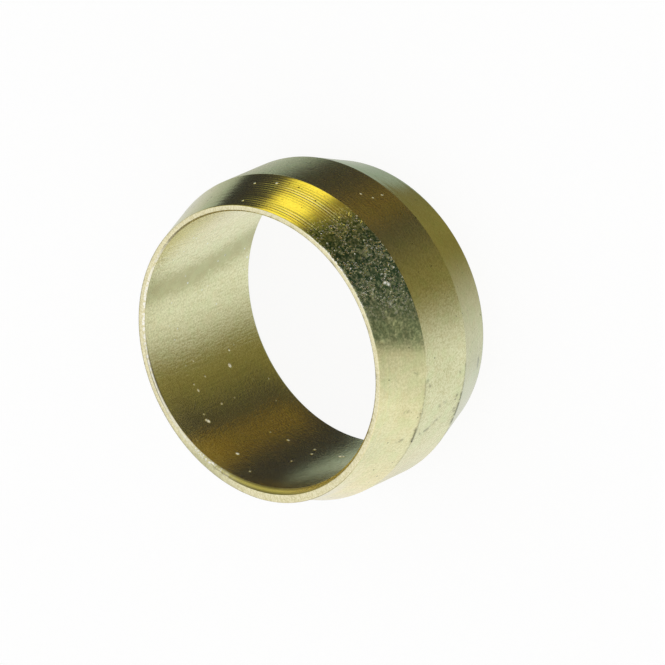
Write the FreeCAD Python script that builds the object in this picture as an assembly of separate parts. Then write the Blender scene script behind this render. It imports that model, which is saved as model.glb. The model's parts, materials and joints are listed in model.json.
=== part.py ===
"""Brass compression olive for a 15 mm pipe: one turned ring that stands on one of its ends.

Lengths are in millimetres. Z is the axis of the bore, and the lower end face lies at Z = 0.
From end to end the outside is a cone, a cylindrical land and a second cone. The bore is plain,
with a small chamfer at each mouth, so both ends of the olive are the same.
"""
import FreeCAD, Part
import os

# Fit on the pipe
PIPE_DIAMETER = 15.0
BORE_CLEARANCE = 0.15  # added to the pipe's diameter, so that the olive slides on by hand

# Wall thicknesses, measured outwards from the bore
LAND_WALL = 1.40
RIM_WALL = 0.45  # at each end face, chamfer included

# Lengths along the axis
LAND_LENGTH = 3.50
CONE_LENGTH = 2.80  # each of the two cones

# Edges
MOUTH_WIDTH = 0.15  # chamfer of each bore mouth, across the end face
MOUTH_DEPTH = 0.20  # the same chamfer, along the bore
RIDGE_RADIUS = 0.10  # rounding where the land meets a cone

# Sizes that follow from those above
BORE_RADIUS = (PIPE_DIAMETER + BORE_CLEARANCE) / 2
MOUTH_RADIUS = BORE_RADIUS + MOUTH_WIDTH
RIM_RADIUS = BORE_RADIUS + RIM_WALL
LAND_RADIUS = BORE_RADIUS + LAND_WALL
OVERALL_LENGTH = LAND_LENGTH + 2 * CONE_LENGTH

AXIS_POINT = FreeCAD.Vector(0, 0, 0)
AXIS_DIRECTION = FreeCAD.Vector(0, 0, 1)
FULL_TURN = 360
SAME_LENGTH = 1e-6  # two lengths closer than this are the same


def half_section():
    """The face that turns about the axis, as corners (radius, height) from the lower bore mouth round."""
    corners = [
        (BORE_RADIUS, MOUTH_DEPTH),
        (MOUTH_RADIUS, 0),
        (RIM_RADIUS, 0),
        (LAND_RADIUS, CONE_LENGTH),
        (LAND_RADIUS, CONE_LENGTH + LAND_LENGTH),
        (RIM_RADIUS, OVERALL_LENGTH),
        (MOUTH_RADIUS, OVERALL_LENGTH),
        (BORE_RADIUS, OVERALL_LENGTH - MOUTH_DEPTH),
    ]
    points = [FreeCAD.Vector(radius, 0, height) for radius, height in corners]
    return Part.Face(Part.makePolygon(points + points[:1]))


def is_ridge(edge):
    """True for the two circles where the land meets a cone."""
    return isinstance(edge.Curve, Part.Circle) and abs(edge.Curve.Radius - LAND_RADIUS) < SAME_LENGTH


def olive():
    """The turned ring, with its two ridges rounded."""
    ring = half_section().revolve(AXIS_POINT, AXIS_DIRECTION, FULL_TURN)
    ridges = [edge for edge in ring.Edges if is_ridge(edge)]
    return ring.makeFillet(RIDGE_RADIUS, ridges)


def main():
    os.makedirs("parts", exist_ok=True)
    olive().exportStep("parts/olive.step")


main()
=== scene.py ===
"""A compression olive: one turned brass ring, with its finish, floor, light and camera.

The ring stands on its lower end with its bore upright. A place on it is given by its turn, the angle from the
side that faces the camera (-Y) towards -X, and by its depth below the upper end.
"""
import functools
import json
import math

import bpy
import numpy as np
from mathutils import Matrix, Vector


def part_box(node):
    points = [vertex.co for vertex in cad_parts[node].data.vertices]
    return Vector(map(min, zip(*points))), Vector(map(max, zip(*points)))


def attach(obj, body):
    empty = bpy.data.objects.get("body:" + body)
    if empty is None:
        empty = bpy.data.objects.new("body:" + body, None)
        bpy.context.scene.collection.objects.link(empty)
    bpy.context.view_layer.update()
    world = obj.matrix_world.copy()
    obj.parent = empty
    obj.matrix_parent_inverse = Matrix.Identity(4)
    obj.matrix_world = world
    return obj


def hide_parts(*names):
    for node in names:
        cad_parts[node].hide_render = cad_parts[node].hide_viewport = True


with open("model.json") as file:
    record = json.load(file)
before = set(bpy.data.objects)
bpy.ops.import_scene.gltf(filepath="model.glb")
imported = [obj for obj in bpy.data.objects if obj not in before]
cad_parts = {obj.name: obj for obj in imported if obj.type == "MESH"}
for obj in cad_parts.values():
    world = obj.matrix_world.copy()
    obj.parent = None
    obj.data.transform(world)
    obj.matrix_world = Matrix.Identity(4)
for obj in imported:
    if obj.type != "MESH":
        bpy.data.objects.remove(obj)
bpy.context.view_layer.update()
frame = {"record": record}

bl_info = {
    "name": "Compression olive",
    "version": (1, 0, 0),
    "blender": (4, 5, 0),
    "location": "View3D > Sidebar > Olive",
    "description": "Turned brass compression olive with its studio",
    "category": "Add Mesh",
}

MM = 0.001
MICRON = 1e-6
NODE = "olive"
BODY = "root"

# The photograph's frame, where it shows the middle of the ring in it, and its scale there
IMAGE_WIDTH = 665
CENTRE_PIXEL = (310.5, 328.6)
PIXELS_PER_MM = 18.876
SENSOR_WIDTH_MM = 36.0

# Points of the mesh: round the ring, on each stretch of its section and on each corner of the section
ROUND_POINTS = 540
BORE_POINTS = 12
MOUTH_POINTS = 1
RIM_POINTS = 3
UPPER_CONE_POINTS = 52
LAND_POINTS = 60
LOWER_CONE_POINTS = 18
CORNER_POINTS = 4

# The stretches of the section, in the order that it is walked
BORE, UPPER_MOUTH, UPPER_RIM, UPPER_CONE, LAND, LOWER_CONE, LOWER_RIM, LOWER_MOUTH = range(8)

RANDOM_SEED = 15


def linear(hex_colour):
    """Linear red, green and blue of an sRGB hex colour such as F2E6B4."""
    shares = [int(hex_colour[i:i + 2], 16) / 255 for i in (0, 2, 4)]
    return tuple(s / 12.92 if s <= 0.04045 else ((s + 0.055) / 1.055) ** 2.4 for s in shares)


def cad_bore_radius():
    """Radius of the bore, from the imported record's mount of that name."""
    bore = next(mount for mount in frame["record"]["mounts"] if mount["name"] == "bore")
    return bore["dims"]["r_mm"] * MM


def cad_land_radius():
    """Half the smaller width of the CAD ring, so that the dressed ring stays inside its box."""
    low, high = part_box(NODE)
    return min(high.x, high.y, -low.x, -low.y)


def cad_length():
    """Height of the CAD ring along its bore."""
    low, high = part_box(NODE)
    return high.z - low.z


def length_property(name, description, default):
    """A property that holds a length in metres."""
    return bpy.props.FloatProperty(
        name=name, description=description, default=default, min=0.0, precision=6, unit="LENGTH")


def colour_property(name, description, hex_colour):
    """A property that holds a colour."""
    return bpy.props.FloatVectorProperty(
        name=name, description=description, default=linear(hex_colour),
        size=3, min=0.0, max=1.0, subtype="COLOR")


def share_property(name, description, default):
    """A property that holds a share from 0 to 1."""
    return bpy.props.FloatProperty(
        name=name, description=description, default=default, min=0.0, max=1.0, subtype="FACTOR")


def angle_property(name, description, degrees):
    """A property that holds an angle."""
    return bpy.props.FloatProperty(
        name=name, description=description, default=math.radians(degrees), subtype="ANGLE")


class OliveSizes(bpy.types.PropertyGroup):
    """Sizes of the turned ring. The first three come from the CAD ring."""

    bore_radius: length_property("Bore radius", "Radius of the plain bore", cad_bore_radius())
    land_radius: length_property("Land radius", "Outside radius of the middle land", cad_land_radius())
    length: length_property("Length", "Overall length along the bore", cad_length())
    cone_length: length_property("Cone length", "Length of each cone along the bore", 2.80 * MM)
    rim_wall: length_property("Rim wall", "Wall at each end face, from bore to cone", 0.45 * MM)
    mouth_width: length_property("Mouth width", "Chamfer of a bore mouth, across the end face", 0.15 * MM)
    mouth_depth: length_property("Mouth depth", "Chamfer of a bore mouth, along the bore", 0.20 * MM)
    mouth_wide: length_property("Mouth wide", "The upper chamfer where the tool leaned on it", 0.27 * MM)
    mouth_narrow: length_property("Mouth narrow", "The upper chamfer elsewhere", 0.08 * MM)
    flare: length_property("Flare", "How far the upper mouth opens where its chamfer is narrow", 0.13 * MM)
    flare_depth: length_property("Flare depth", "How far down the bore the flare starts", 3.0 * MM)
    rim_bulge: length_property("Rim bulge", "How far the upper rim is pushed out on one side", 0.25 * MM)
    ridge_radius: length_property("Ridge radius", "Rounding where the land meets a cone", 0.10 * MM)
    edge_radius: length_property("Edge radius", "Rounding of the rims' edges", 0.04 * MM)
    feed: length_property("Feed", "Pitch of the tool's feed marks on the upper cone", 0.17 * MM)
    feed_depth: length_property("Feed depth", "Depth of the feed marks, on average", 18 * MICRON)
    groove_depth: length_property("Groove depth", "Depth of the tool's grooves on the cones", 1.2 * MICRON)
    burr_height: length_property("Burr height", "Unevenness of the upper rim's edges", 20 * MICRON)


class OliveFinish(bpy.types.PropertyGroup):
    """Colours and gloss of the turned brass."""

    brass: colour_property("Brass", "Clean turned brass", "F5EAB7")
    faced: colour_property("Faced brass", "The end faces, cut rougher and paler", "F0E9C4")
    # The tarnish colour also paints the shadow band down the bore
    tarnish: colour_property("Tarnish", "Brass that has started to dull", "CABF88")
    brown: colour_property("Brown", "Brass that has browned", "E6D19A")
    green: colour_property("Green", "Brass that has turned greenish", "DEE2A4")
    # The grime colour also darkens the painted shadow band down the bore a little
    grime_and_shade: colour_property("Grime", "Dark residue along the ridges", "4A4630")
    scuff: colour_property("Scuff", "Dark film in the scuffed patch", "43573A")
    # Near-white: the colour of the grains and the dust in the bore, and a painted glint on the rubbed and
    # flaked edges and the fresh facets
    bright: colour_property("Bright", "Grains of swarf and rubbed edges", "FFFDF4")
    cone_roughness: share_property("Cone roughness", "Roughness of the turned cones", 0.17)
    bore_roughness: share_property("Bore roughness", "Roughness of the drawn bore", 0.22)
    satin_roughness: share_property("Satin roughness", "Roughness of the land and rims", 0.26)


class OliveStage(bpy.types.PropertyGroup):
    """The view and the floor."""

    tilt: angle_property("Tilt", "Angle between the bore and the line of sight", 41.85)
    roll: angle_property("Roll", "Turn of the picture about the line of sight", 24.42)
    distance: length_property("Distance", "From the camera to the middle of the ring", 464 * MM)
    floor: colour_property("Floor", "Pale floor", "FAFAFA")


def rounded_section(sizes):
    """The ring's closed section, walked up the bore and down the outside.

    Each corner becomes an arc that touches its two sides, and each side between two arcs gets points, evenly
    spaced or crowded towards its end. Gives arrays of radius, height, stretch and share along the stretch.
    """
    bore, land, top = sizes.bore_radius, sizes.land_radius, sizes.length
    mouth, rim = bore + sizes.mouth_width, bore + sizes.rim_wall
    # Each row is a stretch, its points, how they crowd, the corner that it leads to and that corner's radius
    walk = (
        (BORE, BORE_POINTS, 2, (bore, top - sizes.mouth_depth), sizes.edge_radius),
        (UPPER_MOUTH, MOUTH_POINTS, 1, (mouth, top), sizes.edge_radius),
        (UPPER_RIM, RIM_POINTS, 1, (rim, top), sizes.edge_radius),
        (UPPER_CONE, UPPER_CONE_POINTS, 1, (land, top - sizes.cone_length), sizes.ridge_radius),
        (LAND, LAND_POINTS, 1, (land, sizes.cone_length), sizes.ridge_radius),
        (LOWER_CONE, LOWER_CONE_POINTS, 1, (rim, 0.0), sizes.edge_radius),
        (LOWER_RIM, RIM_POINTS, 1, (mouth, 0.0), sizes.edge_radius),
        (LOWER_MOUTH, MOUTH_POINTS, 1, (bore, sizes.mouth_depth), sizes.edge_radius),
    )
    corners = np.array([row[3] for row in walk])
    arcs = [
        corner_arc(corners[i - 1], corners[i], corners[(i + 1) % len(walk)], walk[i][4])
        for i in range(len(walk))
    ]
    points, stretches, shares = [], [], []
    half = CORNER_POINTS // 2
    for i, (stretch, count, crowding, _, _) in enumerate(walk):
        share = 1 - np.linspace(1, 0, count + 2)[1:-1] ** crowding
        points += [np.outer(1 - share, arcs[i - 1][-1]) + np.outer(share, arcs[i][0]), arcs[i]]
        following = walk[(i + 1) % len(walk)][0]
        stretches += [stretch] * (count + half) + [following] * (CORNER_POINTS - half)
        shares += [*share] + [1.0] * half + [0.0] * (CORNER_POINTS - half)
    points = np.concatenate(points)
    return points[:, 0], points[:, 1], np.array(stretches), np.array(shares)


def corner_arc(before, corner, after, radius):
    """Points of the arc of that radius that touches the sides before and after a corner, in that order."""
    back = (before - corner) / np.linalg.norm(before - corner)
    ahead = (after - corner) / np.linalg.norm(after - corner)
    half_angle = math.acos(np.dot(back, ahead)) / 2
    middle = (back + ahead) / np.linalg.norm(back + ahead)
    across = (ahead - back) / np.linalg.norm(ahead - back)
    centre = corner + middle * radius / math.sin(half_angle)
    sweep = np.linspace(-1, 1, CORNER_POINTS) * (math.pi / 2 - half_angle)
    return centre + radius * (np.outer(np.sin(sweep), across) - np.outer(np.cos(sweep), middle))


def round_noise(random, width):
    """Smooth random values round the ring, about 1 high, with features about that many radians wide."""
    waves = np.fft.rfft(random.normal(size=ROUND_POINTS))
    waves *= np.exp(-(np.arange(len(waves)) * width / 3) ** 2)
    values = np.fft.irfft(waves, ROUND_POINTS)
    return (values / values.std())[:, None]


def bump(values, middle, width):
    """A bell curve of height 1."""
    return np.exp(-((values - middle) / width) ** 2)


def between(values, low, high, fade):
    """1 from low to high, falling to 0 over the fade outside them."""
    return np.clip(1 + (values - low) / fade, 0, 1) * np.clip(1 + (high - values) / fade, 0, 1)


def turn_apart(turn, degrees):
    """Degrees from a given turn to each turn, between -180 and 180."""
    return (np.degrees(turn) - degrees + 180) % 360 - 180


def groove_depths(random, share):
    """Uneven grooves along one cone: random depths softened by their neighbours, with none at its ends."""
    rough = random.normal(size=len(share) + 2)
    soft = (rough[:-2] + 2 * rough[1:-1] + rough[2:]) / 4
    return fade_at_ends(share) * (soft - soft.max())


def fade_at_ends(share):
    """1 along the middle of a stretch, falling to 0 over an eighth of it at each end."""
    return np.clip(8 * share, 0, 1) * np.clip(8 * (1 - share), 0, 1)


# The scuffed patch on the upper cone, in degrees: its turns, how far it fades and how far it slants from rim
# to ridge, some turns and how thick its dark film is there, and the turns of its bright flecks and how far
# those fade
SCUFF_TURNS = (-31, 17)
SCUFF_FADE = 7
SCUFF_SLANT = 6
FILM_TURNS = (-38, -31, -10, 16, 22, 34, 42)
FILM_THICKNESS = (0.0, 0.85, 1.07, 0.84, 0.22, 0.20, 0.0)
FLECK_TURNS = (-31, -6)
FLECK_FADE = 16

# The dents in that patch: how many there are, and the least and most of their places from rim to ridge, of
# their radii and of their depths as shares of their radii
DENT_COUNT = 120
DENT_SHARES = (0.06, 0.94)
DENT_RADIUS_MM = (0.05, 0.12)
DENT_STEEPNESS = (0.02, 0.12)


def scuff_dents(random, turn, radius, height, share, on_cone):
    """Small dents strewn over the scuffed patch, each a bell-shaped hollow."""
    hollow = np.zeros((len(turn), len(radius)))
    for _ in range(DENT_COUNT):
        middle_turn = random.uniform(*SCUFF_TURNS)
        middle_share = random.uniform(*DENT_SHARES)
        size = random.uniform(*DENT_RADIUS_MM) * MM
        steepness = random.uniform(*DENT_STEEPNESS)
        middle_height = np.interp(middle_share, share[on_cone], height[on_cone])
        aside = np.radians(turn_apart(turn, middle_turn)) * radius / size
        along = (height - middle_height) / size
        hollow -= steepness * size * np.exp(-aside ** 2 - along ** 2) * on_cone
    return hollow


# Turns and spreads in degrees: where the upper chamfer is wide, where the upper rim bulges, where its outer
# edge carries a burr, and where its inner edge is torn
MOUTH_TURN, MOUTH_SPREAD = 108, 34
BULGE_TURN, BULGE_SPREAD = 108, 42
BURR_TURN, BURR_SPREAD = -22, 26
TORN_TURN, TORN_SPREAD = 148, 13

# How far the bulge reaches down the upper cone, as a share of it, and how quickly it falls off
BULGE_REACH, BULGE_FALL = 0.45, 1.5

# How uneven the cones' grooves are round the ring, and the width of that unevenness in radians
GROOVE_UNEVENNESS, GROOVE_WIDTH = 0.25, 0.15

# The burrs: their reach in edge radii, and for each edge their width in radians, their height all round and
# how much higher they are where that edge is burred or torn
BURR_REACH = 2.5
OUTER_BURR_WIDTH, OUTER_BURR_LEAST, OUTER_BURR_MORE = 0.022, 0.12, 1.0
INNER_BURR_WIDTH, INNER_BURR_LEAST, INNER_BURR_MORE = 0.03, 0.5, 2.0


def ring_surface(sizes):
    """The turned ring: its section carried round the bore's axis.

    A point at turn t on a section point of radius r and height h lies at (-r sin t, -r cos t, h). Tool
    grooves and dents move the points of the cones along the cones' normals. The upper mouth's chamfer is wide
    and deep on one side, where the rim bulges, and gives way to a small chamfer and a flare elsewhere. Small
    burrs lower the rim's two edges. Also gives each point's place for the finish.
    """
    radius, height, stretch, share = rounded_section(sizes)
    turn = np.linspace(0, 2 * math.pi, ROUND_POINTS, endpoint=False)[:, None]
    random = np.random.default_rng(RANDOM_SEED)
    top = sizes.length
    place = {"turn": turn, "depth": top - height, "stretch": stretch, "share": share}

    rim, mouth = sizes.bore_radius + sizes.rim_wall, sizes.bore_radius + sizes.mouth_width
    rise = sizes.land_radius - rim
    sunk = np.zeros((ROUND_POINTS, len(radius)))
    for cone in (UPPER_CONE, LOWER_CONE):
        here = stretch == cone
        unevenness = 1 + GROOVE_UNEVENNESS * round_noise(random, GROOVE_WIDTH)
        sunk[:, here] += sizes.groove_depth * groove_depths(random, share[here]) * unevenness
    here = stretch == UPPER_CONE
    sunk += scuff_dents(random, turn, radius, height, share, here)
    lean = math.atan2(rise, sizes.cone_length)
    upward = np.where(here, 1.0, -1.0)

    leaned = bump(turn_apart(turn, MOUTH_TURN), 0, MOUTH_SPREAD)
    wider = sizes.mouth_narrow + (sizes.mouth_wide - sizes.mouth_narrow) * leaned - sizes.mouth_width
    foot = sizes.mouth_depth
    near_mouth = (height > top - 1.2 * foot) & (stretch != UPPER_CONE)
    across_rim = np.interp(radius, (mouth, rim), (1, 0))
    mouth_edge = np.interp(radius, (sizes.bore_radius, mouth), (0, 1)) * across_rim * near_mouth
    inner = radius < 0.5 * (mouth + rim)
    mouth_foot = np.interp(height, (top - 2 * foot, top - foot, top), (0, 1, 0)) * inner
    flared = np.clip(1 - (top - height) / sizes.flare_depth, 0, 1) ** 2
    flared = flared * across_rim * (stretch != UPPER_CONE)
    bulge_reach = np.where(here, np.clip(1 - share / BULGE_REACH, 0, 1) ** BULGE_FALL, 0)
    bulge_reach = np.where(stretch == UPPER_RIM, 1 - across_rim, bulge_reach)
    bulge = sizes.rim_bulge * bump(turn_apart(turn, BULGE_TURN), 0, BULGE_SPREAD)

    reach = BURR_REACH * sizes.edge_radius
    burred = OUTER_BURR_LEAST + OUTER_BURR_MORE * bump(turn_apart(turn, BURR_TURN), 0, BURR_SPREAD)
    torn = INNER_BURR_LEAST + INNER_BURR_MORE * bump(turn_apart(turn, TORN_TURN), 0, TORN_SPREAD)
    burr = np.zeros((ROUND_POINTS, len(radius)))
    for edge, width, strength in ((rim, OUTER_BURR_WIDTH, burred), (mouth, INNER_BURR_WIDTH, torn)):
        nearness = bump(radius, edge, reach) * bump(height, top, reach)
        burr += nearness * strength * np.clip(round_noise(random, width), 0, 3)

    distance = radius + sunk * math.cos(lean) + wider * mouth_edge + bulge * bulge_reach
    distance += sizes.flare * (1 - leaned) * flared
    lowered = wider * mouth_foot * foot / sizes.mouth_width + burr * sizes.burr_height
    points = np.empty((ROUND_POINTS, len(radius), 3))
    points[..., 0] = -distance * np.sin(turn)
    points[..., 1] = -distance * np.cos(turn)
    points[..., 2] = height + sunk * upward * math.sin(lean) - lowered
    return points, place


# Dark residue and scratches on the outside, each a line from one turn and depth to another, with its
# width in millimetres and its strength
MARKS = (
    ((34.0, 2.80), (52.0, 2.80), 0.07, 0.45),
    ((52.5, 2.74), (58.0, 2.80), 0.11, 1.00),
    ((58.0, 2.80), (70.0, 2.80), 0.07, 0.45),
    ((45.4, 2.70), (46.2, 2.78), 0.10, 0.90),
    ((55.5, 3.30), (54.9, 3.95), 0.08, 0.90),
    ((54.9, 3.95), (53.0, 4.25), 0.08, 0.55),
    ((53.0, 4.25), (52.2, 4.60), 0.08, 0.80),
    ((34.0, 6.29), (44.8, 6.28), 0.07, 0.55),
    ((44.8, 6.26), (57.5, 6.24), 0.12, 1.00),
    ((57.5, 6.28), (68.0, 6.28), 0.07, 0.55),
    ((45.0, 5.82), (45.6, 5.90), 0.10, 0.70),
    ((51.0, 5.95), (51.8, 6.02), 0.12, 0.80),
    ((45.4, 4.75), (46.0, 4.90), 0.10, 0.55),
    ((46.4, 4.35), (46.9, 4.45), 0.10, 0.60),
    ((57.4, 1.90), (56.6, 2.12), 0.08, 0.80),
    ((44.8, 1.72), (44.2, 1.95), 0.08, 0.55),
    ((30.0, 2.15), (30.4, 2.22), 0.08, 0.70),
    ((33.9, 2.95), (34.3, 3.00), 0.08, 0.65),
    ((36.2, 3.15), (36.6, 3.22), 0.08, 0.65),
    ((36.2, 5.82), (36.6, 5.88), 0.08, 0.60),
    ((38.3, 8.48), (41.7, 8.52), 0.12, 0.80),
)


def mark_strength(turn, depth, scale):
    """How dark the marks are at each place: 1 on a mark's line, fading over its width."""
    strength = np.zeros(np.broadcast_shapes(turn.shape, depth.shape))
    for (turn_0, depth_0), (turn_1, depth_1), width, dark in MARKS:
        aside = np.radians(turn_apart(turn, turn_0)) * scale / MM
        below = depth / MM - depth_0
        run = np.array((math.radians(turn_1 - turn_0) * scale / MM, depth_1 - depth_0))
        share = np.clip((aside * run[0] + below * run[1]) / np.dot(run, run), 0, 1)
        gap = np.hypot(aside - share * run[0], below - share * run[1])
        strength = np.maximum(strength, dark * np.exp(-(gap / width) ** 2))
    return strength


# Where the tool chattered on the upper cone: its turn and spread in degrees, and the middle and width of each
# band as shares of the way from rim to ridge
CHATTER_TURN, CHATTER_SPREAD = -47, 14
CHATTER_BANDS = ((0.66, 0.18), (0.16, 0.10))

# The turns, from MOUTH_TURN, between which the upper chamfer is bare brass, and how far that fades
BARE_TURNS = (-38, 40)
BARE_FADE = 12

# Along the edges of the upper mouth, dark lines and a rubbed stretch with a painted glint: their turn and
# spread in degrees
MOUTH_LINES = ((120, 30), (186, 16))
RUBBED_GLINT_TURN, RUBBED_GLINT_SPREAD = 205, 40

# How thick the dark film is where the inner edge is torn
TORN_FILM = 0.3

# The painted shadow band down the bore: a dull, dark band in the brass's colour that paints in the reflection
# of a shadow. Its turn and spread in degrees, the depth in millimetres below which it drifts round, and how
# far and how quickly it does
SHADOW_BAND_TURN, SHADOW_BAND_SPREAD = 223.5, 6
SHADOW_BAND_BEND_MM, SHADOW_BAND_DRIFT, SHADOW_BAND_POWER = 4, 0.8, 1.3


def finish_zones(place, sizes):
    """The attributes that the material reads, by name: where the ring is satin, scuffed, tinted by the
    painted shadow band and so on.

    Each is about 1 where its name holds fully, and 0 where it does not hold.
    """
    turn, depth, stretch, share = place["turn"], place["depth"], place["stretch"], place["share"]
    outside = np.isin(stretch, (UPPER_CONE, LAND, LOWER_CONE))
    faced = np.isin(stretch, (UPPER_RIM, LOWER_RIM))
    slanted = turn_apart(turn, 0) - SCUFF_SLANT * (share - 0.5)
    scuffed = between(slanted, *SCUFF_TURNS, SCUFF_FADE) * (stretch == UPPER_CONE)
    film = np.interp(slanted, FILM_TURNS, FILM_THICKNESS) * (stretch == UPPER_CONE)
    torn = bump(turn_apart(turn, TORN_TURN), 0, TORN_SPREAD) * np.isin(stretch, (UPPER_MOUTH, UPPER_RIM))
    outer_edge = (stretch == UPPER_RIM) & (share == 1) | (stretch == UPPER_CONE) & (share == 0)
    burred = outer_edge * bump(turn_apart(turn, BURR_TURN), 0, BURR_SPREAD)
    rubbed_glint = (stretch == UPPER_MOUTH) * bump(turn_apart(turn, RUBBED_GLINT_TURN), 0, RUBBED_GLINT_SPREAD)
    bare = between(turn_apart(turn, MOUTH_TURN), *BARE_TURNS, BARE_FADE)
    chattered = sum(bump(share, middle, width) for middle, width in CHATTER_BANDS)
    chattered = chattered * bump(turn_apart(turn, CHATTER_TURN), 0, CHATTER_SPREAD) * (stretch == UPPER_CONE)
    mouth_edge = (stretch == UPPER_MOUTH) & np.isin(share, (0, 1)) | (stretch == BORE) & (share == 1)
    mouth_line = mouth_edge * sum(bump(turn_apart(turn, middle), 0, width) for middle, width in MOUTH_LINES)
    shadow_band_turn = SHADOW_BAND_TURN + SHADOW_BAND_DRIFT * np.clip(depth / MM - SHADOW_BAND_BEND_MM, 0, None) ** SHADOW_BAND_POWER
    return {
        "outside": outside,
        "drawn": stretch == BORE,
        "faced": faced + (stretch == UPPER_MOUTH) * (1 - bare),
        "satin": ~np.isin(stretch, (UPPER_CONE, LOWER_CONE)),
        "scuffed": scuffed,
        "filmed": film + TORN_FILM * torn,
        "flecked": between(slanted, *FLECK_TURNS, FLECK_FADE) * scuffed,
        # The rubbed stretch and the torn and burred edges are real wear that also carries a painted
        # near-white glint
        "rubbed_glint": rubbed_glint,
        "flaked_glint": torn * (stretch == UPPER_MOUTH) + burred,
        # Painted shadow: a dull dark band down the bore, where a shadow beside the ring would be mirrored
        "tinted": (stretch == BORE) * bump(turn_apart(turn, shadow_band_turn), 0, SHADOW_BAND_SPREAD),
        "grimy": outside * mark_strength(turn, depth, sizes.land_radius),
        "lined": mouth_line,
        "chattered": chattered,
    }


def grid_mesh(name, points):
    """A mesh of four-sided faces on a grid of points that closes on itself both ways."""
    rows, columns = points.shape[:2]
    row, column = np.meshgrid(np.arange(rows), np.arange(columns), indexing="ij")
    next_row, next_column = (row + 1) % rows, (column + 1) % columns
    corners = [row * columns + column, next_row * columns + column,
               next_row * columns + next_column, row * columns + next_column]
    faces = np.stack(corners, axis=-1).reshape(-1, 4)
    return mesh_from_arrays(name, points.reshape(-1, 3), faces)


def mesh_from_arrays(name, vertices, faces):
    """A smooth-shaded mesh of four-sided faces."""
    mesh = bpy.data.meshes.new(name)
    mesh.from_pydata(vertices, [], faces)
    mesh.polygons.foreach_set("use_smooth", np.ones(len(faces), dtype=bool))
    mesh.update()
    return mesh


def add_attribute(mesh, name, values):
    """Stores one number for each vertex, for the material to read."""
    attribute = mesh.attributes.new(name, "FLOAT", "POINT")
    attribute.data.foreach_set("value", np.ascontiguousarray(values, dtype=np.float32).ravel())


def add_node(tree, kind, inputs=(), output=0, **settings):
    """Adds a shader node with its settings, sets or links each input, and gives one of its outputs."""
    made = tree.nodes.new("ShaderNode" + kind)
    for name, value in settings.items():
        setattr(made, name, value)
    for name, value in inputs.items() if isinstance(inputs, dict) else enumerate(inputs):
        if isinstance(value, bpy.types.NodeSocket):
            tree.links.new(value, made.inputs[name])
        else:
            made.inputs[name].default_value = value
    return made.outputs[output]


# Bright grains of swarf: turn, depth and radius, in degrees and millimetres
BORE_GRAINS = (
    (180.1, 5.85, 0.095), (162.8, 2.16, 0.090), (163.6, 2.08, 0.075), (144.1, 1.98, 0.090),
    (157.6, 0.55, 0.065), (176.1, 2.75, 0.065), (167.1, 3.82, 0.060), (166.2, 2.18, 0.050),
    (186.0, 6.26, 0.060), (180.2, 3.71, 0.050), (179.0, 2.66, 0.050), (187.9, 3.30, 0.050),
    (158.8, 7.49, 0.050), (168.6, 8.08, 0.050), (139.3, 5.64, 0.070), (132.8, 1.23, 0.060),
    (127.6, 3.96, 0.060), (146.8, 5.26, 0.050), (167.2, 4.92, 0.045), (128.0, 6.05, 0.065),
    (126.1, 5.48, 0.065), (115.1, 6.08, 0.100), (114.0, 6.16, 0.080), (226.4, 6.55, 0.060),
)
LAND_GRAINS = ((-36.5, 4.50, 0.060), (-33.0, 4.88, 0.055), (-32.6, 5.60, 0.060))
CONE_GRAINS = (
    (-69.9, 1.97, 0.055), (-61.2, 2.16, 0.065), (-67.8, 0.44, 0.050),
    (-3.8, 1.76, 0.075), (-2.9, 1.90, 0.070), (-26.8, 0.39, 0.055), (-20.4, 2.11, 0.050),
)

# A grain is full and gone at these shares of its radius from its middle. One of the bright radius or more is
# fully bright, and a smaller one is fainter.
GRAIN_FULL, GRAIN_GONE = 0.4, 1.6
BRIGHT_GRAIN = 0.085 * MM


def grain_places(sizes):
    """The middle and radius of each grain."""
    rim = sizes.bore_radius + sizes.rim_wall
    places = []
    for specks, upper, lower in (
        (BORE_GRAINS, sizes.bore_radius, sizes.bore_radius),
        (LAND_GRAINS, sizes.land_radius, sizes.land_radius),
        (CONE_GRAINS, rim, sizes.land_radius),
    ):
        for turn, depth, size in specks:
            radius = upper + (lower - upper) * min(1.0, depth * MM / sizes.cone_length)
            middle = Vector((0.0, -radius, sizes.length - depth * MM))
            middle.rotate(Matrix.Rotation(-math.radians(turn), 3, "Z"))
            places.append((middle, size * MM))
    return places


# Noise in the brass: how far its features reach across the bore's axis and along it, in millimetres, and its
# detail. Tool lines and drawing lines are really finer than a pixel, and are drawn coarser so that they show.
PATTERNS = {
    "cloud": (2.2, 2.2, 4.0),
    "blotch": (0.70, 0.70, 3.0),
    "mottle": (0.45, 0.45, 3.0),
    "dirt": (0.22, 0.22, 2.0),
    "speck": (0.12, 0.12, 3.0),
    "tool line": (7.0, 0.11, 2.0),
    "feed": (4.0, 0.30, 1.0),
    "drawn line": (0.10, 1.2, 2.0),
}

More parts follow.
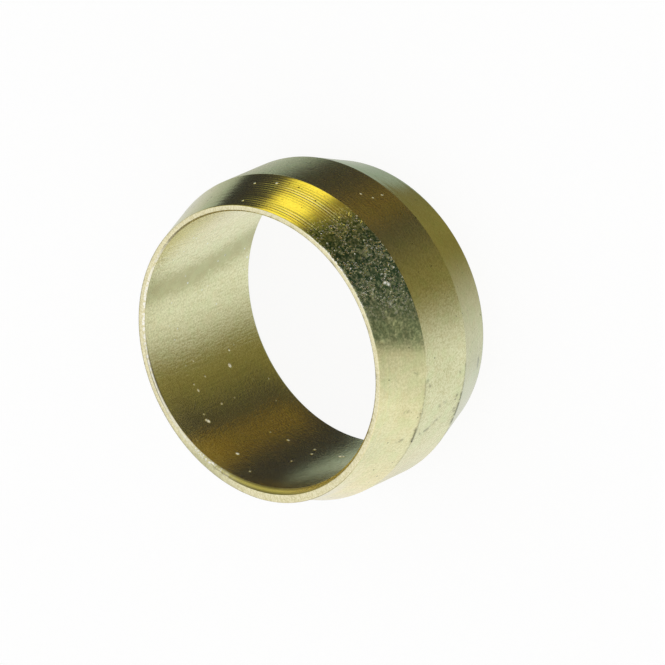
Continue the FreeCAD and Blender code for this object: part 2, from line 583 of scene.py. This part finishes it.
# How the brass is discoloured: for each colour of the finish, the patterns that bring it, the values at which
# a pattern brings none and most, the zone, and how much
DISCOLOURING = {
    "tarnish": (
        ("cloud", 0.42, 0.80, "outside", 0.30),
        ("speck", 0.35, 0.70, "outside", 0.42),
        ("speck", 0.35, 0.70, "satin", 0.20),
        ("speck", 0.35, 0.70, "drawn", 0.32),
        ("drawn line", 0.45, 0.70, "drawn", 0.22),
        ("dirt", 0.42, 0.65, "faced", 0.15),
        ("speck", 0.40, 0.62, "faced", 0.20),
        # Painted shadow: the band down the bore takes this colour in full
        ("mottle", 0.00, 0.50, "tinted", 1.00),
    ),
    "brown": (
        ("mottle", 0.46, 0.68, "outside", 0.28),
        ("mottle", 0.46, 0.68, "drawn", 0.20),
    ),
    "green": (
        ("blotch", 0.45, 0.65, "outside", 0.32),
        ("blotch", 0.45, 0.65, "drawn", 0.20),
        ("blotch", 0.10, 0.60, "filmed", 0.70),
    ),
    "scuff": (
        ("mottle", 0.10, 0.50, "filmed", 0.64),
        ("dirt", 0.40, 0.60, "flecked", 0.18),
        ("speck", 0.30, 0.62, "filmed", 0.30),
    ),
    # Painted glints: a near-white colour on the rubbed and flaked edges and the fresh facets, besides their
    # real wear
    "bright": (
        ("dirt", 0.40, 0.55, "rubbed_glint", 0.90),
        ("speck", 0.48, 0.58, "flaked_glint", 0.95),
        ("speck", 0.00, 0.30, "fresh_glint", 0.95),
    ),
    "grime_and_shade": (
        ("dirt", 0.30, 0.52, "grimy", 0.75),
        # Painted shadow: a little of this colour darkens the band down the bore
        ("mottle", 0.00, 0.50, "tinted", 0.12),
        ("cloud", 0.00, 0.30, "lined", 0.80),
    ),
}

# Dots of a colour and where they lie: dark pits outside and bright dust in the bore. Then the space between
# them in millimetres, the distances from a dot's middle, in such spaces, at which it is full and gone, and
# the share of them that are left out.
DOTS = {"grime_and_shade": "outside", "bright": "drawn"}
DOT_SPACE = 0.5
DOT_FULL, DOT_GONE = 0.06, 0.14
DOT_LEFT_OUT = 0.35

# Facets in the scuffed patch: their size in millimetres, their slope, and the values at which the sum of a
# facet's random number and the blotches there makes it start to be fresh and fully fresh, with a painted
# near-white glint
FACET_SIZE = 0.085
FACET_SLOPE = 0.8
FRESH_GLINT_FROM, FRESH_GLINT_FULL = 1.27, 1.38

# The feed marks: the height of the wave at which a groove starts, the range of their pattern, and the depths
# that it brings, as shares of the average depth
GROOVE_FROM = -0.2
FEED_RANGE = (0.3, 0.7)
FEED_DEPTHS = (0.5, 1.5)

# Heights in microns: of a grain, and of each pattern in a zone
GRAIN_HEIGHT = 40.0
HEIGHTS = (
    ("tool line", "outside", 4.0),
    ("drawn line", "drawn", 6.0),
    ("speck", "satin", 8.0),
    ("speck", "drawn", 4.0),
    ("mottle", "scuffed", 14.0),
)

# How much rougher grime and film make the brass
GRIME_ROUGHNESS = 0.08
FILM_ROUGHNESS = 0.20


def turned_brass(finish, sizes, zones):
    """Free-machining brass, turned outside and drawn inside.

    It gives the eye a pale yellow mirror, crisp on the cones and satin elsewhere, with fine tool lines, a
    scuffed patch that glitters, slight tarnish, dark residue on the ridges and a few bright grains. Its
    colour also paints a shadow band down the bore, and near-white glints on the rubbed and flaked edges and
    on the scuffed patch's fresh facets. The mesh's attributes, which have the names of the zones, say where.
    """
    material = bpy.data.materials.new("turned_brass")
    material.use_nodes = True
    tree = material.node_tree
    add = functools.partial(add_node, tree)
    shader = tree.nodes["Principled BSDF"]
    place = add("TexCoord", output="Object")
    zone = {name: add("Attribute", output="Fac", attribute_name=name) for name in zones}
    pattern = {}
    for name, (across, along, detail) in PATTERNS.items():
        scale = (1 / (across * MM), 1 / (across * MM), 1 / (along * MM))
        stretched = add("VectorMath", (place, scale), operation="MULTIPLY")
        pattern[name] = add("TexNoise", {"Vector": stretched, "Scale": 1.0, "Detail": detail}, "Fac")

    # Some of the cells in the scuffed patch are fresh facets, uneven in shape, with a random tilt, no film
    # and a painted near-white glint
    uneven = add("TexNoise", {"Vector": place, "Scale": 1 / (FACET_SIZE * MM), "Detail": 1.0}, "Color")
    moved = add("VectorMath", (uneven, (FACET_SIZE * MM,) * 3, place), operation="MULTIPLY_ADD")
    cell = add("TexVoronoi", {"Vector": moved, "Scale": 1 / (FACET_SIZE * MM)}).node.outputs
    tilt = add("VectorMath", (cell["Color"], (0.5, 0.5, 0.5)), operation="SUBTRACT")
    offset = add("VectorMath", (moved, cell["Position"]), operation="SUBTRACT")
    facet = add("VectorMath", (offset, tilt), "Value", operation="DOT_PRODUCT")
    chance = add("SeparateColor", (cell["Color"],), "Blue")
    chance = add("Math", (chance, pattern["blotch"]), operation="ADD")
    chance = add("MapRange", {"Value": chance, "From Min": FRESH_GLINT_FROM, "From Max": FRESH_GLINT_FULL}, "Result")
    zone["fresh_glint"] = add("Math", (chance, zone["flecked"]), operation="MULTIPLY")
    covered = add("Math", (1.0, zone["fresh_glint"]), operation="SUBTRACT")
    zone["filmed"] = add("Math", (zone["filmed"], covered), operation="MULTIPLY")
    pattern["facet"] = add("Math", (facet, chance), operation="MULTIPLY")

    # The tool's feed cuts one narrow groove after another along the cone, some deeper than others
    rise = sizes.land_radius - sizes.bore_radius - sizes.rim_wall
    slant = math.hypot(sizes.cone_length, rise) / sizes.cone_length
    along = add("SeparateXYZ", (place,), "Z")
    wave = add("Math", (along, 2 * math.pi * slant / sizes.feed), operation="MULTIPLY")
    wave = add("Math", (wave,), operation="SINE")
    groove = add("MapRange", {"Value": wave, "From Min": GROOVE_FROM, "From Max": 1.0}, "Result",
                 interpolation_type="SMOOTHSTEP")
    deeper = add("MapRange", {
        "Value": pattern["feed"], "From Min": FEED_RANGE[0], "From Max": FEED_RANGE[1],
        "To Min": FEED_DEPTHS[0], "To Max": FEED_DEPTHS[1]}, "Result")
    pattern["groove"] = add("Math", (groove, deeper), operation="MULTIPLY")

    grain = 0.0
    for middle, size in grain_places(sizes):
        gap = add("VectorMath", (place, middle), "Value", operation="DISTANCE")
        dome = add("MapRange", {
            "Value": gap, "From Min": GRAIN_FULL * size, "From Max": GRAIN_GONE * size,
            "To Min": min(1.0, (size / BRIGHT_GRAIN) ** 2), "To Max": 0.0},
            "Result", interpolation_type="SMOOTHSTEP")
        grain = add("Math", (dome, grain), operation="MAXIMUM")

    relief = add("Math", (grain, GRAIN_HEIGHT), operation="MULTIPLY")
    for name, where, microns in (
        *HEIGHTS,
        ("groove", "chattered", -sizes.feed_depth / MICRON),
        ("facet", "flecked", FACET_SLOPE / MICRON),
    ):
        height = add("Math", (pattern[name], zone[where]), operation="MULTIPLY")
        relief = add("Math", (height, microns, relief), operation="MULTIPLY_ADD")
    surface = add("Bump", {"Strength": 1.0, "Distance": MICRON, "Height": relief}, "Normal")

    # Dots of uneven strength, wherever the middle of a cell lies close to the surface
    cell = add("TexVoronoi", {"Vector": place, "Scale": 1 / (DOT_SPACE * MM)}).node.outputs
    chance = add("SeparateColor", (cell["Color"],), "Red")
    chance = add("MapRange", {"Value": chance, "From Min": DOT_LEFT_OUT, "From Max": 1.0}, "Result")
    dot = add("MapRange", {
        "Value": cell["Distance"], "From Min": DOT_FULL, "From Max": DOT_GONE,
        "To Min": 1.0, "To Max": 0.0}, "Result")
    dot = add("Math", (dot, chance), operation="MULTIPLY")

    turned, faced = (*finish.brass, 1.0), (*finish.faced, 1.0)
    colour = add("Mix", {"Factor": zone["faced"], "A": turned, "B": faced}, "Result", data_type="RGBA")
    for tone, rows in DISCOLOURING.items():
        amount = add("Math", (dot, zone[DOTS[tone]]), operation="MULTIPLY") if tone in DOTS else 0.0
        for name, low, high, where, most in rows:
            share = add("MapRange", {
                "Value": pattern[name], "From Min": low, "From Max": high, "To Max": most},
                "Result", interpolation_type="SMOOTHSTEP")
            amount = add("Math", (share, zone[where], amount), operation="MULTIPLY_ADD")
        tinted = (*getattr(finish, tone), 1.0)
        colour = add("Mix", {"Factor": amount, "A": colour, "B": tinted}, "Result", data_type="RGBA")
    bright = (*finish.bright, 1.0)
    colour = add("Mix", {"Factor": grain, "A": colour, "B": bright}, "Result", data_type="RGBA")
    gloss = add("MapRange", {
        "Value": zone["satin"], "To Min": finish.cone_roughness, "To Max": finish.satin_roughness}, "Result")
    smoother = finish.bore_roughness - finish.satin_roughness
    gloss = add("Math", (zone["drawn"], smoother, gloss), operation="MULTIPLY_ADD")
    # Grime is the last of the colours above, so the amount is its amount
    for rougher, more in ((amount, GRIME_ROUGHNESS), (zone["filmed"], FILM_ROUGHNESS)):
        gloss = add("Math", (rougher, more, gloss), operation="MULTIPLY_ADD")
    metal = add("Math", (1.0, grain), operation="SUBTRACT")
    tree.links.new(metal, shader.inputs["Metallic"])
    tree.links.new(colour, shader.inputs["Base Color"])
    tree.links.new(gloss, shader.inputs["Roughness"])
    tree.links.new(surface, shader.inputs["Normal"])
    return material


class OLIVE_OT_turned_ring(bpy.types.Operator):
    """Make the turned brass ring, which is the whole olive"""

    bl_idname = "olive.turned_ring"
    bl_label = "Turned ring"

    def execute(self, context):
        scene = context.scene
        sizes = scene.olive_sizes
        points, place = ring_surface(sizes)
        mesh = grid_mesh("turned_ring", points)
        zones = finish_zones(place, sizes)
        for name, values in zones.items():
            add_attribute(mesh, name, np.broadcast_to(values, points.shape[:2]))
        mesh.materials.append(turned_brass(scene.olive_finish, sizes, zones))
        ring = bpy.data.objects.new("turned_ring", mesh)
        scene.collection.objects.link(ring)
        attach(ring, BODY)
        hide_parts(NODE)
        return {"FINISHED"}


# The floor and the cove that it curves up in, in metres, and the points of their mesh
FLOOR_RADIUS = 0.5
COVE_RADIUS = 0.4
FLOOR_RINGS = 12
COVE_RINGS = 24
FLOOR_SPOKES = 96

# The paper's roughness, and the share of its look that is plain white, which leaves the ring a light shadow
PAPER_ROUGHNESS = 0.9
PLAIN_WHITE = 0.9


def floor_surface():
    """A flat round floor that curves up at its edge: a line and a quarter circle carried round the Z axis."""
    flat = np.linspace(0, FLOOR_RADIUS, FLOOR_RINGS, endpoint=False)
    bend = np.linspace(0, math.pi / 2, COVE_RINGS)
    radius = np.concatenate([flat, FLOOR_RADIUS + COVE_RADIUS * np.sin(bend)])
    height = np.concatenate([np.zeros(FLOOR_RINGS), COVE_RADIUS * (1 - np.cos(bend))])
    turn = np.linspace(0, 2 * math.pi, FLOOR_SPOKES, endpoint=False)[:, None]
    return np.stack([radius * np.cos(turn), radius * np.sin(turn), height + 0 * turn], axis=-1)


def floor_paper(colour):
    """White paper that is mostly plain white to the eye, and takes a light shadow."""
    material = bpy.data.materials.new("floor_paper")
    material.use_nodes = True
    tree = material.node_tree
    paper = tree.nodes["Principled BSDF"]
    paper.inputs["Base Color"].default_value = (*colour, 1.0)
    paper.inputs["Roughness"].default_value = PAPER_ROUGHNESS
    ray = add_node(tree, "LightPath").node.outputs
    seen = ray["Is Camera Ray"]
    for kind in ("Is Glossy Ray", "Is Transmission Ray"):
        seen = add_node(tree, "Math", (seen, ray[kind]), operation="ADD")
    share = add_node(tree, "Math", (seen, PLAIN_WHITE), operation="MULTIPLY")
    white = add_node(tree, "Emission", {"Color": (1.0, 1.0, 1.0, 1.0), "Strength": 1.0})
    mixed = add_node(tree, "MixShader", (share, paper.outputs["BSDF"], white))
    tree.links.new(mixed, tree.nodes["Material Output"].inputs["Surface"])
    return material


# The photographed ring seems to lie on its side on a pale table in a dim room, and its brass mirrors both.
# This one stands on its end, so the table and the room are soft round patches of the world: what each is, its
# direction, the angles from it in degrees at which it is full and gone, its colour and its strength. A later
# one covers an earlier one, and the room's own colour shows where there is none.
ROOM = "B5B269"
PATCHES = (
    ("dark room", (-0.35, -0.07, -0.94), 84, 104, "313239", 1.0),
    ("shaded table", (-0.66, -0.05, -0.75), 50, 78, "807C4D", 1.0),
    ("brown wall", (0.73, -0.44, -0.52), 17, 19, "7F6C32", 1.0),
    ("grey wall", (0.05, 0.80, -0.60), 38, 40, "98A9A4", 1.0),
    ("pale table", (-0.91, 0.09, -0.41), 31, 71, "E9F4FF", 1.0),
    ("white screen", (-0.24, 0.97, 0.02), 22, 74, "FFFCFC", 1.0),
    ("white ceiling", (-0.41, -0.05, 0.91), 69, 98, "FFFFFF", 1.0),
    ("screen behind", (0.05, -0.79, 0.61), 44, 48, "FFFFFF", 1.0),
    ("dim doorway", (-0.75, 0.62, 0.18), 5, 32, "77735A", 1.0),
    ("dim corner", (0.12, 0.98, 0.12), 10, 40, "5E5B44", 1.0),
    ("warm lamp", (0.94, -0.15, -0.31), 7, 17, "FFEF66", 1.3),
)


def studio_light(world):
    """Lights the scene from all round with the patches that the brass mirrors."""
    world.use_nodes = True
    tree = world.node_tree
    direction = add_node(tree, "TexCoord", output="Generated")
    colour = (*linear(ROOM), 1.0)
    for label, towards, full, gone, hex_colour, strength in PATCHES:
        along = add_node(tree, "VectorMath", (direction, Vector(towards).normalized()), "Value",
                         operation="DOT_PRODUCT", label=label)
        share = add_node(tree, "MapRange", {
            "Value": along, "From Min": math.cos(math.radians(gone)),
            "From Max": math.cos(math.radians(full))}, "Result", interpolation_type="SMOOTHSTEP")
        patch = (*(strength * part for part in linear(hex_colour)), 1.0)
        colour = add_node(tree, "Mix", {"Factor": share, "A": colour, "B": patch}, "Result", data_type="RGBA")
    tree.links.new(colour, tree.nodes["Background"].inputs["Color"])


class OLIVE_OT_stage(bpy.types.Operator):
    """Make the floor, the light and the camera"""

    bl_idname = "olive.stage"
    bl_label = "Stage"

    def execute(self, context):
        scene = context.scene
        stage = scene.olive_stage
        self.add_floor(scene, stage)
        scene.world = bpy.data.worlds.new("studio")
        studio_light(scene.world)
        scene.view_settings.view_transform = "Standard"
        self.add_camera(scene, stage, scene.olive_sizes.length / 2)
        return {"FINISHED"}

    def add_floor(self, scene, stage):
        """The floor takes the ring's shadow. The brass mirrors the patches of the world in its place, so the
        floor is left out of reflections and doesn't shade the ring from the patches below.
        """
        points = floor_surface()
        spokes, rings = points.shape[:2]
        spoke, ring = np.meshgrid(np.arange(spokes), np.arange(rings - 1), indexing="ij")
        following = (spoke + 1) % spokes
        faces = np.stack([spoke * rings + ring, spoke * rings + ring + 1,
                          following * rings + ring + 1, following * rings + ring], axis=-1).reshape(-1, 4)
        mesh = mesh_from_arrays("floor", points.reshape(-1, 3), faces)
        mesh.materials.append(floor_paper(stage.floor))
        floor = bpy.data.objects.new("floor", mesh)
        scene.collection.objects.link(floor)
        floor.visible_glossy = False
        floor.visible_shadow = False

    def add_camera(self, scene, stage, middle_height):
        """The camera looks down at the tilt and roll of the photograph, from the -Y side."""
        towards = Vector((0.0, -math.sin(stage.tilt), math.cos(stage.tilt)))
        foot = Vector((0.0, -math.cos(stage.tilt), -math.sin(stage.tilt)))
        side = Vector((1.0, 0.0, 0.0))
        right = math.cos(stage.roll) * foot - math.sin(stage.roll) * side
        up = math.sin(stage.roll) * foot + math.cos(stage.roll) * side
        pixel = MM / PIXELS_PER_MM
        aside = (IMAGE_WIDTH / 2 - CENTRE_PIXEL[0]) * pixel
        below = (IMAGE_WIDTH / 2 - CENTRE_PIXEL[1]) * pixel
        place = Vector((0.0, 0.0, middle_height)) + towards * stage.distance + right * aside - up * below
        data = bpy.data.cameras.new("camera")
        data.sensor_width = SENSOR_WIDTH_MM
        data.lens = SENSOR_WIDTH_MM * stage.distance / (IMAGE_WIDTH * pixel)
        data.clip_start = stage.distance / 10
        data.clip_end = stage.distance * 10
        camera = bpy.data.objects.new("camera", data)
        scene.collection.objects.link(camera)
        turned = Matrix((right, up, towards)).transposed()
        camera.matrix_world = Matrix.Translation(place) @ turned.to_4x4()
        scene.camera = camera


class OLIVE_PT_panel(bpy.types.Panel):
    """Sizes, finish and steps of the olive"""

    bl_idname = "OLIVE_PT_panel"
    bl_label = "Compression olive"
    bl_space_type = "VIEW_3D"
    bl_region_type = "UI"
    bl_category = "Olive"

    def draw(self, context):
        for group in (context.scene.olive_sizes, context.scene.olive_finish, context.scene.olive_stage):
            column = self.layout.column()
            for name in group.__annotations__:
                column.prop(group, name)
        self.layout.operator("olive.turned_ring")
        self.layout.operator("olive.stage")


CLASSES = (OliveSizes, OliveFinish, OliveStage, OLIVE_OT_turned_ring, OLIVE_OT_stage, OLIVE_PT_panel)
GROUPS = {"olive_sizes": OliveSizes, "olive_finish": OliveFinish, "olive_stage": OliveStage}


def register():
    for item in CLASSES:
        bpy.utils.register_class(item)
    for name, group in GROUPS.items():
        setattr(bpy.types.Scene, name, bpy.props.PointerProperty(type=group))


def unregister():
    for name in GROUPS:
        delattr(bpy.types.Scene, name)
    for item in reversed(CLASSES):
        bpy.utils.unregister_class(item)


def main():
    """Builds the olive and its stage."""
    register()
    bpy.ops.olive.turned_ring()
    bpy.ops.olive.stage()
    bpy.context.view_layer.update()


if __name__ == "__main__":
    main()
